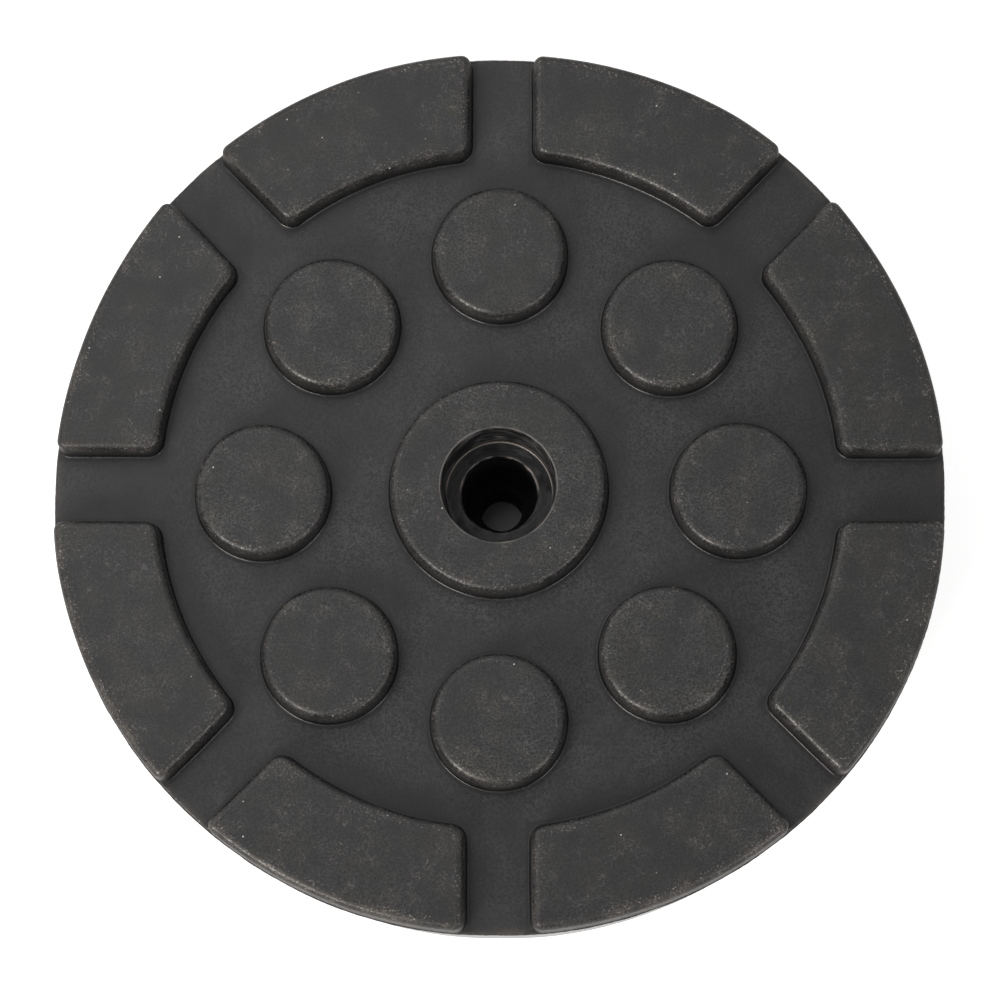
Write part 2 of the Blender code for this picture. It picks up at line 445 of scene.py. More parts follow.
# %% Node helpers
def add_input(tree, name, kind):
    """Adds a named input to a node group."""
    return tree.interface.new_socket(name, in_out="INPUT", socket_type=kind)


def add_node(tree, kind, settings=None, **values):
    """Adds a node, sets its properties and the values of its inputs."""
    node = tree.nodes.new(kind)
    for name, setting in (settings or {}).items():
        setattr(node, name, setting)
    for name, value in values.items():
        node.inputs[name].default_value = value
    return node


def feed(tree, socket, value):
    """Links a socket to another, or sets it to a plain value."""
    if isinstance(value, bpy.types.NodeSocket):
        tree.links.new(value, socket)
    elif value is not None:
        socket.default_value = value


def math_node(tree, operation, first, second=None):
    """Adds a math node fed by sockets or numbers, and gives its result."""
    node = add_node(tree, "ShaderNodeMath", {"operation": operation})
    feed(tree, node.inputs[0], first)
    feed(tree, node.inputs[1], second)
    return node.outputs[0]


print("node helpers ready")

# %% Tree that repeats the relief
relief = bpy.data.node_groups.new("moulded_relief", "GeometryNodeTree")
relief.is_modifier = True
add_input(relief, "Body", "NodeSocketGeometry")
for shape_name in ("Stud", "Stud marks", "Segment", "Flash"):
    add_input(relief, shape_name, "NodeSocketObject")
add_input(relief, "Segment count", "NodeSocketInt").default_value = SEGMENTS
add_input(relief, "Rubber", "NodeSocketMaterial")
relief.interface.new_socket("Pad", in_out="OUTPUT", socket_type="NodeSocketGeometry")
given = add_node(relief, "NodeGroupInput").outputs
link = relief.links.new


def shape_of(name):
    """The geometry of an object given to the tree."""
    info = add_node(relief, "GeometryNodeObjectInfo")
    link(given[name], info.inputs["Object"])
    return info.outputs["Geometry"]


studs = add_node(relief, "GeometryNodeInstanceOnPoints")
link(shape_of("Stud marks"), studs.inputs["Points"])
link(shape_of("Stud"), studs.inputs["Instance"])

middle = add_node(relief, "GeometryNodePoints")
link(given["Segment count"], middle.inputs["Count"])
index = add_node(relief, "GeometryNodeInputIndex").outputs[0]
step = math_node(relief, "DIVIDE", 2.0 * math.pi, given["Segment count"])
euler = add_node(relief, "ShaderNodeCombineXYZ")
link(math_node(relief, "MULTIPLY", index, step), euler.inputs["Z"])
rotation = add_node(relief, "FunctionNodeEulerToRotation")
link(euler.outputs[0], rotation.inputs[0])
segments = add_node(relief, "GeometryNodeInstanceOnPoints")
link(middle.outputs[0], segments.inputs["Points"])
link(shape_of("Segment"), segments.inputs["Instance"])
link(rotation.outputs[0], segments.inputs["Rotation"])
print("relief tree:", len(relief.nodes), "nodes so far")

# %% Union and material
union = add_node(relief, "GeometryNodeMeshBoolean", {"operation": "UNION", "solver": "MANIFOLD"})
for shapes in (studs, segments):
    real = add_node(relief, "GeometryNodeRealizeInstances")
    link(shapes.outputs["Instances"], real.inputs["Geometry"])
    link(real.outputs["Geometry"], union.inputs["Mesh 2"])
link(shape_of("Flash"), union.inputs["Mesh 2"])
link(given["Body"], union.inputs["Mesh 2"])

smooth = add_node(relief, "GeometryNodeSetShadeSmooth")
link(union.outputs["Mesh"], smooth.inputs["Geometry"])
whole = add_node(relief, "GeometryNodeRealizeInstances")
link(smooth.outputs["Geometry"], whole.inputs["Geometry"])
painted = add_node(relief, "GeometryNodeSetMaterial")
link(whole.outputs["Geometry"], painted.inputs["Geometry"])
link(given["Rubber"], painted.inputs["Material"])
link(painted.outputs["Geometry"], add_node(relief, "NodeGroupOutput").inputs["Pad"])
print("relief tree:", len(relief.nodes), "nodes")

# %% [markdown]
# ## Making the pad
#
# The tree runs once, as a modifier on the turned body, and its result is kept as a plain mesh.
# The union leaves the floor in long slivers, some without any area, and those would fold as soon
# as their points moved. So the floor is taken out and filled again between the same borders, with
# triangles as square as the points allow. Edges sharper than twenty degrees, such as the rim of
# the fin, are marked, so that they stay crisp. The helper shapes are then removed.

# %% Fill a level part again
def sides_of(corners):
    """The three directed sides of a triangle."""
    return [(corners[place], corners[(place + 1) % 3]) for place in range(3)]


def filled(plan, border):
    """Triangles over points in plan, as square as they allow, inside a border of directed sides."""
    made = geometry.delaunay_2d_cdt(plan, sorted(border), [], 0, 1e-6)
    triangles = [[made[3][place][0] for place in triangle] for triangle in made[2]]
    owner = {side: number for number, corners in enumerate(triangles) for side in sides_of(corners)}
    inside, waiting = set(), [owner[side] for side in sorted(border)]
    while waiting:
        number = waiting.pop()
        if number not in inside:
            inside.add(number)
            open_sides = [side for side in sides_of(triangles[number]) if side not in border]
            waiting += [owner[side[::-1]] for side in open_sides if side[::-1] in owner]
    return [triangles[number] for number in sorted(inside)]


def refill_level(mesh, height):
    """Fills the level part at a height again, between the same borders."""
    bm = bmesh.new()
    bm.from_mesh(mesh)
    bmesh.ops.remove_doubles(bm, verts=list(bm.verts), dist=MERGE_REACH)
    level = [face for face in bm.faces if all(abs(vert.co.z - height) < MERGE_REACH for vert in face.verts)]
    points = list({vert: None for face in level for vert in face.verts})
    place_of = {vert: place for place, vert in enumerate(points)}
    in_level = set(level)
    border = {(place_of[loop.vert], place_of[loop.link_loop_next.vert])
              for face in level for loop in face.loops if not in_level.issuperset(loop.edge.link_faces)}
    triangles = filled([Vector((vert.co.x / MM, vert.co.y / MM)) for vert in points], border)
    bmesh.ops.delete(bm, geom=level, context="FACES_ONLY")
    for corners in triangles:
        bm.faces.new([points[place] for place in corners]).smooth = True
    for edge in [edge for edge in bm.edges if not edge.link_faces]:
        bm.edges.remove(edge)
    bm.to_mesh(mesh)
    bm.free()
    print("level faces:", len(level), "before,", len(triangles), "after")


print("fill helpers ready")

# %% Run the tree
SHARP_ANGLE = math.radians(20.0)


def set_inputs(modifier, values):
    """Sets a Geometry Nodes modifier's inputs by the identifiers of its sockets."""
    for socket in modifier.node_group.interface.items_tree:
        if socket.in_out == "INPUT" and socket.name in values:
            modifier[socket.identifier] = values[socket.name]


rubber = bpy.data.materials.new("black_rubber")
repeat = pad.modifiers.new("relief", "NODES")
repeat.node_group = relief
set_inputs(repeat, {"Stud": stud, "Stud marks": stud_marks, "Segment": segment, "Flash": flash,
                    "Rubber": rubber})
baked(pad)
refill_level(pad.data, FLOOR)
pad.data.set_sharp_from_angle(angle=SHARP_ANGLE)
for helper in (stud, stud_marks, segment, flash):
    bpy.data.objects.remove(helper, do_unlink=True)
print("pad:", len(pad.data.polygons), "faces")

# %% [markdown]
# ## The mould's own errors
#
# The rim isn't a perfect circle either, some segments sit up to a millimetre round from their
# proper place, and one of them is a little long, so that its channel is narrow. Two short tables
# hold these errors in millimetres against the direction from the middle: how far the rim stands
# out, and how far the two walls of each channel are turned. Both fade in with the radius, so that
# the studs stay on their marks. A slow noise also nudges the walls sideways by a tenth of a
# millimetre, because pressed rubber is never quite true, and light running along a wavering edge
# shows it at once. Its seed is fixed, because Blender's vector noise otherwise starts from the
# clock, and each run would give another pad.
#
# The place that each point has on the drawing, without any error, is kept as an attribute, because
# the finish will ask how far a point is from a stud or a wall. A Weighted Normal modifier comes
# last: each flat then shades as truly flat, and only the roundings bend the light.

# %% Tables of the errors
RIM_ERRORS = [(0, -0.15), (10, 0.0), (35, 0.0), (48, 0.30), (57, 0.45), (70, 0.17), (85, -0.05),
              (110, 0.10), (140, 0.10), (150, -0.22), (162, -0.36), (180, -0.15), (190, 0.15),
              (205, 0.22), (230, 0.17), (250, 0.24), (263, 0.15), (270, -0.02), (277, 0.15),
              (290, 0.22), (305, 0.30), (325, 0.40), (340, 0.38), (350, 0.20), (356, -0.05),
              (360, -0.15)]
WALL_ERRORS = [(-0.2, 0.0), (0.7, 0.85), (0.0, -0.6), (-0.95, -0.75), (-0.35, 0.1), (1.1, 0.15),
               (0.2, 0.0), (-0.1, 0.0)]
MIDDLE_OF_RIM = 52.75 * MM
wall_deg = math.degrees(HALF_CHANNEL / MIDDLE_OF_RIM)
wall_table = [(channel * 360.0 / SEGMENTS + side * wall_deg, error)
              for channel, pair in enumerate(WALL_ERRORS) for side, error in zip((-1.0, 1.0), pair)]


def looked_up(table, directions_deg):
    """Reads a table of errors at some directions, in metres."""
    return MM * np.interp(directions_deg, *np.array(table).T, period=360.0)


print("errors known in", len(RIM_ERRORS), "directions and at", len(wall_table), "walls")

# %% Move the points
WAVER = 0.12 * MM
WAVER_SCALE = 70.0
WAVER_SEED = 7
STUD_FADE = (STUD_RADIUS + 1.2 * MM, STUD_RADIUS + 2.0 * MM)
BULGE_FADE = (56.0 * MM, 59.0 * MM)
SHIFT_FADE = (42.3 * MM, 45.4 * MM)
WAVER_FADE = (54.0 * MM, 58.5 * MM)


def fade(values, low, high):
    """0 up to one limit, 1 from the other, and a smooth step between them."""
    share = np.clip((values - low) / (high - low), 0.0, 1.0)
    return share * share * (3.0 - 2.0 * share)


def point_vectors(mesh, name):
    """The places or normals of a mesh's points as an array."""
    flat = np.empty(len(mesh.vertices) * 3)
    mesh.vertices.foreach_get(name, flat)
    return flat.reshape(-1, 3)


moved = point_vectors(pad.data, "co")
drawn_places = moved.copy()
for mark, slip in zip(drawn_marks, STUD_SLIPS):
    from_mark = np.hypot(moved[:, 0] - mark[0], moved[:, 1] - mark[1])
    drawn_places[:, :2] -= np.outer(1.0 - fade(from_mark, *STUD_FADE), slip) * MM
kept_places = pad.data.attributes.new("drawn_place", "FLOAT_VECTOR", "POINT")
kept_places.data.foreach_set("vector", drawn_places.ravel())

radii = np.hypot(moved[:, 0], moved[:, 1])
directions = np.arctan2(moved[:, 1], moved[:, 0])
bulge = looked_up(RIM_ERRORS, np.degrees(directions) % 360.0) * fade(radii, *BULGE_FADE)
shift = looked_up(wall_table, np.degrees(directions) % 360.0) * fade(radii, *SHIFT_FADE)
noise.seed_set(WAVER_SEED)
waver = np.array([noise.noise_vector(Vector(place) * WAVER_SCALE)[:2] for place in moved])
waver *= WAVER * (1.0 - fade(radii, *WAVER_FADE))[:, None]
directions = directions + shift / MIDDLE_OF_RIM
moved[:, 0], moved[:, 1] = (radii + bulge) * np.cos(directions), (radii + bulge) * np.sin(directions)
moved[:, :2] += waver
pad.data.vertices.foreach_set("co", moved.ravel())
pad.data.update()
weighted = pad.modifiers.new("flat shading", "WEIGHTED_NORMAL")
weighted.keep_sharp = True
baked(pad)
print("rim moved by up to", round(float(np.abs(bulge).max()) / MM, 2), "mm, walls by up to",
      round(float(np.abs(shift).max()) / MM, 2), "mm")

# %% Test the mesh
INSIDE_RIM = 58.0 * MM
BELOW_FLOOR = 0.1 * MM
check = bmesh.new()
check.from_mesh(pad.data)
open_edges = sum(1 for edge in check.edges if len(edge.link_faces) != 2)
folded = 0
for face in check.faces:
    centre = face.calc_center_median()
    on_relief = centre.z > FLOOR - BELOW_FLOOR and math.hypot(centre.x, centre.y) < INSIDE_RIM
    folded += on_relief and face.normal.z < 0.0
print("pad:", len(check.verts), "points,", sum(len(face.verts) - 2 for face in check.faces),
      "triangles,", open_edges, "open edges,", folded, "folded faces,",
      round(check.calc_volume() / MM ** 3), "mm3")
check.free()

# %% [markdown]
# ## Where the edges wear, the dust settles and the walls are painted dark
#
# Handling rubs the convex edges first: they go paler and gritty, and the wear thins out over a
# millimetre or so of the flat beside them. Dust and bloom do the opposite, and settle on whatever
# faces up, while the leaning walls keep the clean black skin of the mould. The same split by slope
# is also a painted shade: walls and the steep part of each rounding are coloured darker than the
# flats. A texture can't know either, so the mesh tells it. Points on the roundings are found by
# their height and the slope of their normal, a search tree measures how far every other point is
# from one of them, and both results are stored as attributes that the material reads.

# %% Edge wear, settled dust and painted wall shade
WEAR_REACH = 1.7 * MM
STEEPEST, FLATTEST = 0.45, 0.9
DUST_AND_WALL_SHADE_FADE = (0.45, 0.95)


def ridge_points(places, normals):
    """Which points lie on a convex rounding of the relief or of the disc's rim."""
    out = np.hypot(places[:, 0], places[:, 1])
    sloping = (normals[:, 2] > STEEPEST) & (normals[:, 2] < FLATTEST)
    on_relief = (places[:, 2] > TOP - STUD_ROUNDING) & (out > BOSS_RADIUS - 2.0 * BOSS_ROUNDING)
    on_rim = (out > edge_radius - RIM_ROUNDING) & (places[:, 2] > FLOOR - RIM_ROUNDING)
    return sloping & (on_relief | on_rim)


def store(name, values):
    """Keeps one number per point of the pad as an attribute."""
    attribute = pad.data.attributes.new(name, "FLOAT", "POINT")
    attribute.data.foreach_set("value", values.astype(np.float32))


spots, normals = point_vectors(pad.data, "co"), point_vectors(pad.data, "normal")
ridge = spots[ridge_points(spots, normals)]
ridge_tree = kdtree.KDTree(len(ridge))
for place, spot in enumerate(ridge):
    ridge_tree.insert(spot, place)
ridge_tree.balance()
distance = np.array([ridge_tree.find(spot)[2] for spot in spots])
wear = np.clip(1.0 - distance / WEAR_REACH, 0.0, 1.0)
store("edge_wear", wear)
# 1 on what faces up, where dust settles, and 0 on steep faces, whose colour is painted darker as shade
store("dust_and_wall_shade", fade(normals[:, 2], *DUST_AND_WALL_SHADE_FADE))
print("edge wear:", len(ridge), "ridge points,", int((wear > 0.0).sum()), "points with some wear")

# %% [markdown]
# ## Black rubber
#
# Moulded rubber copies the skin of its mould. The raised tops come from blasted steel and have a
# sandy grain of about a fifth of a millimetre, with fine curled marks where the rubber crept as it
# set. The floor is smoother and a shade bluer. It is painted lighter towards the channel at the
# back and darker towards the channel on the right, which is painted light and shade. The walls
# keep a clean skin with faint streaks down them, and carry a painted shade that darkens them
# towards their foot; the foot of the side is scuffed. Over it all lie a slow mottling from the
# way the rubber flowed and a few specks of dust. All of it is noise in object coordinates, so it
# stays on the pad from every side.

# %% Helpers for the finish
rubber.use_nodes = True
paint = rubber.node_tree
wire = paint.links.new
shader = paint.nodes["Principled BSDF"]
where = add_node(paint, "ShaderNodeTexCoord").outputs["Object"]


def ramp(value, low, high, to_low=0.0, to_high=1.0):
    """Carries a value from one range to another, smoothly, and holds it at both ends."""
    node = add_node(paint, "ShaderNodeMapRange", {"interpolation_type": "SMOOTHSTEP"},
                    **{"From Min": low, "From Max": high, "To Min": to_low, "To Max": to_high})
    wire(value, node.inputs["Value"])
    return node.outputs["Result"]


def falling(value, low, high):
    """1 up to one limit, 0 from the other, and smooth between them."""
    return ramp(value, low, high, 1.0, 0.0)


def eased(share, at_none, at_full):
    """Turns a share, from 0 to 1, into a value between two others, smoothly."""
    return ramp(share, 0.0, 1.0, at_none, at_full)


def product(*values):
    """Multiplies sockets and numbers."""
    total = values[0]
    for value in values[1:]:
        total = math_node(paint, "MULTIPLY", total, value)
    return total


def added(*values):
    """Adds sockets and numbers."""
    total = values[0]
    for value in values[1:]:
        total = math_node(paint, "ADD", total, value)
    return total


def minus(first, second):
    """Takes one socket or number from another."""
    return math_node(paint, "SUBTRACT", first, second)


def length(first, second):
    """Length of a vector in plan."""
    return math_node(paint, "SQRT", added(product(first, first), product(second, second)))


def parts_of(vector):
    """The three numbers of a vector."""
    node = add_node(paint, "ShaderNodeSeparateXYZ")
    wire(vector, node.inputs[0])
    return node.outputs


def read(name, output="Fac"):
    """Reads one of the mesh's attributes."""
    return add_node(paint, "ShaderNodeAttribute", {"attribute_name": name}).outputs[output]


print("finish helpers ready")

# %% Noise patterns
def pattern(scale, detail, roughness, stretch=(1.0, 1.0, 1.0), turn_deg=0.0, distortion=0.0):
    """Noise over the pad, optionally stretched along a direction in plan."""
    mapping = add_node(paint, "ShaderNodeMapping", Scale=stretch,
                       Rotation=(0.0, 0.0, math.radians(turn_deg)))
    made = add_node(paint, "ShaderNodeTexNoise", Scale=scale, Detail=detail, Roughness=roughness,
                    Distortion=distortion)
    wire(where, mapping.inputs["Vector"])
    wire(mapping.outputs[0], made.inputs["Vector"])
    return made.outputs[0]


sand = pattern(3400.0, 1.5, 0.7)
pepper = pattern(5200.0, 0.0, 0.5)
cloud = pattern(90.0, 2.0, 0.6)
patch = pattern(300.0, 1.0, 0.5)
blotch = pattern(170.0, 3.0, 0.65)
strokes = pattern(420.0, 1.0, 0.6, (1.0, 0.18, 1.0), 25.0)
curls = pattern(1100.0, 0.0, 0.5, distortion=1.2)
grit = pattern(3000.0, 1.0, 0.7)
streaks = pattern(260.0, 2.0, 0.6, (1.0, 1.0, 0.16))
curl = product(ramp(curls, 0.46, 0.50), falling(curls, 0.50, 0.54), ramp(patch, 0.48, 0.62))
print("noise patterns:", len(paint.nodes), "nodes")

# %% Places on the pad, specks and dots
across, along, up = parts_of(where)
radius = length(across, along)
raised = ramp(up, FLOOR + 0.5 * MM, TOP - 0.5 * MM)
outer = ramp(radius, 55.0 * MM, 58.5 * MM)
# The slope share: dust on what faces up, painted shade on the steep walls and roundings
edge_wear, dust_and_wall_shade = read("edge_wear"), read("dust_and_wall_shade")


def dots(scale, rarity, size):
    """Round dots in some cells of a random pattern, chosen and drawn between two limits each."""
    cells = add_node(paint, "ShaderNodeTexVoronoi", Scale=scale)
    wire(where, cells.inputs["Vector"])
    chance = add_node(paint, "ShaderNodeSeparateColor")
    wire(cells.outputs["Color"], chance.inputs[0])
    return product(ramp(chance.outputs[0], *rarity), falling(cells.outputs["Distance"], *size))


speck = product(dots(420.0, (0.74, 0.745), (0.025, 0.055)), eased(raised, 0.15, 1.0))
dot = product(dots(850.0, (0.55, 0.85), (0.05, 0.11)), ramp(edge_wear, 0.0, 0.6, 0.12, 1.0), raised)
print("places, specks and dots:", len(paint.nodes), "nodes")

# %% [markdown]
# ## Painted corner shade and the hole
#
# Two parts of the finish need to know where they are. A painted shade darkens the corner at the
# foot of each shape. Since the drawing repeats eight times, one folded sector is enough to measure
# how far a point's drawn place is from all the feet. The hole is greasy and scuffed round and
# round, so its pattern is noise stretched along the turn. It is nearly black and darkest deep
# down, partly from grease and partly as a painted shade. Pale lines on the far side of its inner
# corner and of its bore's edge are painted highlights, and a pale rubbed line runs round its
# mouth where steel touches it.

# %% Distance from the feet of the relief
drawn = parts_of(read("drawn_place", "Vector"))
from_middle = length(drawn[0], drawn[1])
bearing = math_node(paint, "ARCTAN2", drawn[1], drawn[0])
SECTOR = 2.0 * math.pi / SEGMENTS
nearest = math_node(paint, "ROUND", math_node(paint, "DIVIDE", bearing, SECTOR))
off_axis = minus(bearing, product(nearest, SECTOR))
outwards = product(from_middle, math_node(paint, "COSINE", off_axis))
sideways = product(from_middle, math_node(paint, "SINE", off_axis))
stud_gap = minus(length(minus(outwards, STUD_CIRCLE), sideways), STUD_RADIUS)
channel_gap = minus(HALF_CHANNEL, math_node(paint, "ABSOLUTE", sideways))
segment_gap = math_node(paint, "MAXIMUM", minus(SEGMENT_INNER, from_middle), channel_gap)
gap = math_node(paint, "MINIMUM", stud_gap, minus(from_middle, BOSS_RADIUS))
gap = math_node(paint, "MINIMUM", gap, segment_gap)
above_rim = ramp(up, FLOOR - 0.3 * MM, FLOOR - 0.1 * MM)
# Painted shade: the floor darkens close to the foot of each shape.
painted_corner_shade = product(falling(gap, 0.40 * MM, 0.85 * MM),
                    falling(up, FLOOR + 0.15 * MM, FLOOR + 0.5 * MM), above_rim)
print("distance from the feet:", len(paint.nodes), "nodes")

# %% Patterns in the hole
def band(value, low, high, soft):
    """1 between two limits, 0 outside them, with soft ends."""
    return product(ramp(value, low - soft, low + soft), falling(value, high - soft, high + soft))


turned_place = add_node(paint, "ShaderNodeCombineXYZ")
for axis, value in zip("XYZ", (radius, product(bearing, 1.2 * MM), up)):
    wire(value, turned_place.inputs[axis])
scuffs = add_node(paint, "ShaderNodeTexNoise", Scale=1500.0, Detail=2.0, Roughness=0.7)
wire(turned_place.outputs[0], scuffs.inputs["Vector"])
marks = scuffs.outputs[0]
in_hole = product(falling(radius, RECESS_RADIUS + 0.05 * MM, RECESS_RADIUS + 0.3 * MM),
                  ramp(up, 0.2 * MM, 1.0 * MM))
# Painted shade: the hole goes darker, and its grey scuffs fade, the deeper it goes.
painted_depth_light = ramp(up, HEAD_SEAT + 2.0 * MM, RECESS_FLOOR - 0.6 * MM, 0.15, 1.0)
# The far half of the hole, the only place where the painted highlights below go.
highlight_side = ramp(along, -1.0 * MM, 1.5 * MM)
off_middle = ramp(math_node(paint, "ABSOLUTE", across), 0.6 * MM, 1.8 * MM)
corner_ring = band(radius, RECESS_RADIUS - 0.52 * MM, RECESS_RADIUS - 0.38 * MM, 0.03 * MM)
corner_level = band(up, RECESS_FLOOR - 0.1 * MM, RECESS_FLOOR + 0.3 * MM, 0.1 * MM)
# Painted highlight: a pale line along the far side of the recess corner.
painted_corner_highlight = product(corner_ring, corner_level, highlight_side)
bore_ring = band(radius, HEAD_RADIUS + 0.05 * MM, HEAD_RADIUS + 0.32 * MM, 0.05 * MM)
bore_level = band(up, RECESS_FLOOR - 0.3 * MM, RECESS_FLOOR + 0.1 * MM, 0.1 * MM)
# Painted highlight: pale arcs on the far side of the bore's edge, either side of the middle.
painted_bore_highlight = product(bore_ring, bore_level, highlight_side, off_middle, ramp(marks, 0.35, 0.6))
mouth_ring = band(radius, RECESS_RADIUS + 0.15 * MM, RECESS_RADIUS + 0.32 * MM, 0.04 * MM)
mouth_line = product(mouth_ring, ramp(patch, 0.4, 0.6, 0.2, 0.7), ramp(up, RECESS_FLOOR, TOP - 0.5 * MM))
print("patterns in the hole:", len(paint.nodes), "nodes")

# %% [markdown]
# ## Colouring the rubber
#
# The colour is laid on from the large to the small: first the floor, the tops and the walls in
# their own blacks, with painted light and shade on the walls and the floor, then the brown film
# and pale grit of the worn edges, then the painted shade in the corners, the dark hole and its
# painted highlights, and last the specks of dust, because they lie on top.

# %% Colour helpers and blacks
# The black of the steep faces is partly their clean skin and partly a painted shade.
SKIN_AND_SHADE_BLACK = (0.0135, 0.0135, 0.0137, 1.0)
FLOOR_BLACK = (0.0171, 0.0172, 0.0184, 1.0)
TOP_BLACK = (0.0151, 0.0156, 0.0163, 1.0)
TOP_OLIVE = (0.0162, 0.0163, 0.0154, 1.0)


def blended_value(share, first, second):
    """Mixes two numbers, each a socket or a number."""
    return added(product(share, second), product(minus(1.0, share), first))


def blended(share, first, second):
    """Mixes two colours, each a socket or a colour."""
    mix = add_node(paint, "ShaderNodeMix", {"data_type": "RGBA"})
    for place, value in zip((0, 6, 7), (share, first, second)):
        feed(paint, mix.inputs[place], value)
    return mix.outputs[2]


def scaled(tone, share):
    """Makes a colour lighter or darker."""
    node = add_node(paint, "ShaderNodeVectorMath", {"operation": "SCALE"})
    feed(paint, node.inputs[0], tone if isinstance(tone, bpy.types.NodeSocket) else tone[:3])
    feed(paint, node.inputs["Scale"], share)
    return node.outputs[0]


print("skin, floor and top blacks:", SKIN_AND_SHADE_BLACK[:3], FLOOR_BLACK[:3], TOP_BLACK[:3])

# %% Floor, tops and walls
RING_FADE = (41.0 * MM, 46.0 * MM)
CHANNEL_FADE = (40.0 * MM, 52.0 * MM)
top_tone = blended(ramp(blotch, 0.45, 0.62), TOP_BLACK, TOP_OLIVE)
tone = blended(raised, FLOOR_BLACK, top_tone)
sandy = product(eased(raised, 1.05, 1.0), ramp(radius, *RING_FADE, 1.3, 0.90),
                ramp(cloud, 0.35, 0.65, 0.75, 1.25))
grain = added(1.0, product(minus(ramp(sand, 0.3, 0.7), 0.5), sandy))
# Painted light and shade on the floor: lighter towards the back channel, darker towards the channel on the
# right.
painted_channel_light_and_shade = product(ramp(along, *CHANNEL_FADE, 1.0, 1.16), ramp(across, *CHANNEL_FADE, 1.0, 0.72))
lift = product(grain, ramp(cloud, 0.3, 0.7, 0.91, 1.09), ramp(patch, 0.3, 0.7, 0.92, 1.08),
               ramp(radius, *RING_FADE, 1.0, 0.90), ramp(blotch, 0.32, 0.68, 0.88, 1.12),
               ramp(strokes, 0.55, 0.75, 1.0, 1.15), blended_value(raised, painted_channel_light_and_shade, 1.0),
               added(1.0, product(ramp(pepper, 0.66, 0.76), eased(raised, 0.3, 0.8))))
skin_lift = product(ramp(streaks, 0.3, 0.7, 0.8, 1.25), ramp(patch, 0.3, 0.7, 0.9, 1.1),
                    ramp(sand, 0.3, 0.7, 0.85, 1.15))
# Painted shade on the relief's walls: darker towards their foot, a little lighter towards their top.
painted_wall_shade = product(falling(up, FLOOR + 0.3 * MM, TOP - 1.4 * MM), above_rim)
skin_lift = product(skin_lift, blended_value(painted_wall_shade, 1.15, 0.4))
# Steep faces take the darker black: the mould's clean skin, and also a painted shade on walls and
# roundings.
colour = blended(ramp(dust_and_wall_shade, 0.0, 0.45), scaled(SKIN_AND_SHADE_BLACK, skin_lift), scaled(tone, lift))
print("floor, tops and walls:", len(paint.nodes), "nodes")

# %% Film, scuffs and grit
FILM_BROWN = (0.054, 0.048, 0.044, 1.0)
# Pale grit of worn edges, also used for the painted highlights in the hole.
FLECK_AND_HIGHLIGHT = (0.30, 0.27, 0.25, 1.0)
scuffed = product(falling(up, 0.3 * MM, 3.0 * MM), ramp(patch, 0.35, 0.65, 0.1, 1.0),
                  ramp(grit, 0.35, 0.65, 0.3, 1.0), ramp(radius, 50.0 * MM, 54.0 * MM))
rubbed = product(ramp(edge_wear, 0.45, 0.9), ramp(patch, 0.35, 0.65, 0.3, 1.0))
beside = product(ramp(edge_wear, 0.15, 0.62), ramp(edge_wear, 0.75, 0.95, 1.0, 0.6),
                 eased(raised, 0.1, 1.0))
flecks = product(beside, ramp(grit, 0.60, 0.70), ramp(patch, 0.3, 0.6, 0.2, 1.0), eased(outer, 0.6, 1.0))
for share, paler in ((product(scuffed, 0.35), FILM_BROWN),
                     (product(rubbed, eased(outer, 0.10, 0.45)), FILM_BROWN),
                     (product(flecks, 0.55), FLECK_AND_HIGHLIGHT),
                     (product(curl, raised, 0.14), FLECK_AND_HIGHLIGHT),
                     (product(dot, 0.45), FLECK_AND_HIGHLIGHT)):
    colour = blended(share, colour, paler)
print("film, scuffs and grit:", len(paint.nodes), "nodes")

# %% Corners, hole and dust
HOLE_AND_SHADE_BLACK = (0.0030, 0.0030, 0.0032, 1.0)
HOLE_GREY = (0.042, 0.042, 0.043, 1.0)
DUST = (0.45, 0.44, 0.42, 1.0)
# Painted shade in the corners at the feet of the relief.
colour = blended(product(painted_corner_shade, ramp(patch, 0.3, 0.7, 0.35, 0.75)), colour, HOLE_AND_SHADE_BLACK)
# The hole's near-black colour: partly grease, partly a painted shade that deepens with depth.
smudge = product(ramp(marks, 0.44, 0.56, 0.03, 1.0), ramp(patch, 0.40, 0.58, 0.05, 1.0), painted_depth_light)
colour = blended(in_hole, colour, blended(smudge, HOLE_AND_SHADE_BLACK, HOLE_GREY))
# Two painted highlights in the hole, then the pale rubbed line round its mouth.
for line, share in ((painted_corner_highlight, 0.7), (painted_bore_highlight, 0.75), (mouth_line, 0.35)):
    colour = blended(product(line, share), colour, FLECK_AND_HIGHLIGHT)
colour = blended(speck, colour, DUST)
wire(colour, shader.inputs["Base Color"])
print("rubber colours:", len(paint.nodes), "nodes")

# %% [markdown]
# ## The gloss and the grain
#
# Rubber is matt where dust and bloom have settled, and satin where its skin is clean. So the
# roughness follows the same patterns as the colour: it rises on the flats, on the gritty edges and
# deep in the hole, and drops in the greasy corners. The grain itself is far too fine to model, so
# a slight bump stands for it.

